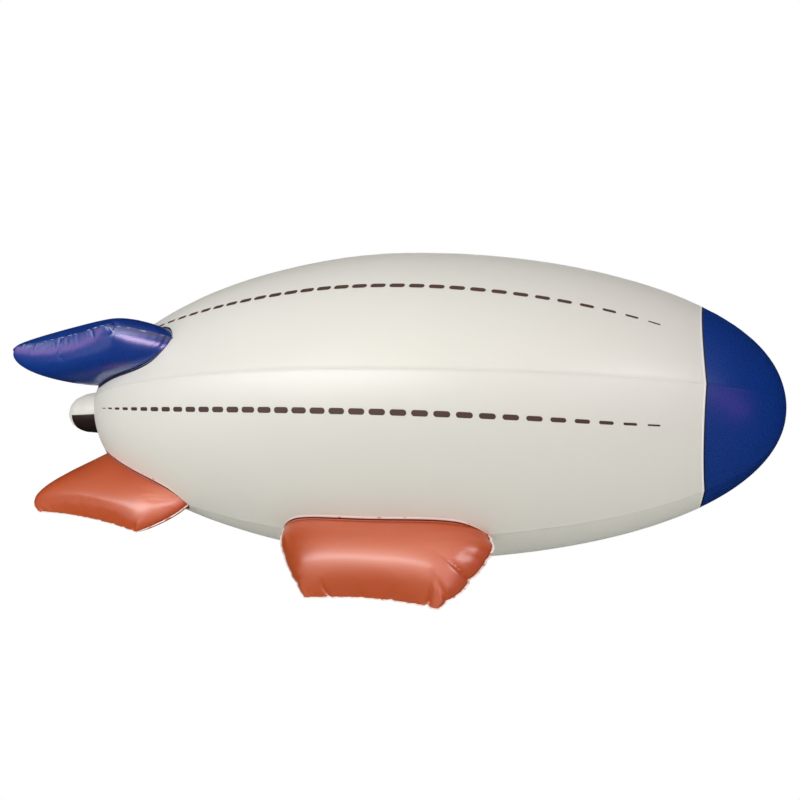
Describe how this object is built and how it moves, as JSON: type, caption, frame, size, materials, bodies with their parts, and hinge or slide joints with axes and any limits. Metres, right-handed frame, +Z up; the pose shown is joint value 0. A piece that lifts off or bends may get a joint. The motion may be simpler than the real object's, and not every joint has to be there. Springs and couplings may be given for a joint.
{
  "type": "advertising blimp balloon",
  "caption": "Inflated airship-shaped film balloon with lengthwise welded panels, a coloured nose, four tail fins, a pillow gondola and a sleeve-shaped tail end.",
  "frame": {"origin": "middle of the envelope's length, on its axis: the place where the air holds the balloon up", "axes": "+X along the envelope towards the nose, +Y to port, +Z up, away from the gondola"},
  "size_m": [3.2363, 1.3462, 1.558],
  "materials": {
    "white_film": "satin welded film",
    "blue_film": "glossy welded film",
    "orange_film": "glossy welded film",
    "tail_film": "satin welded film",
    "dark_patch": "matt patch",
    "valve_plastic": "moulded, matt"
  },
  "bodies": {
    "root": {"envelope_panel_1": "white_film", "envelope_panel_2": "white_film", "envelope_panel_3": "white_film", "envelope_panel_4": "white_film", "envelope_panel_5": "white_film", "envelope_panel_6": "white_film", "nose_panel_1": "blue_film", "nose_panel_2": "blue_film", "nose_panel_3": "blue_film", "nose_panel_4": "blue_film", "nose_panel_5": "blue_film", "nose_panel_6": "blue_film", "tail_end": "tail_film", "tail_patch": "dark_patch", "filling_valve": "valve_plastic", "fin_bottom": "orange_film", "fin_top": "orange_film", "fin_starboard": "blue_film", "fin_port": "blue_film", "gondola": "orange_film"}
  },
  "joints": []
}
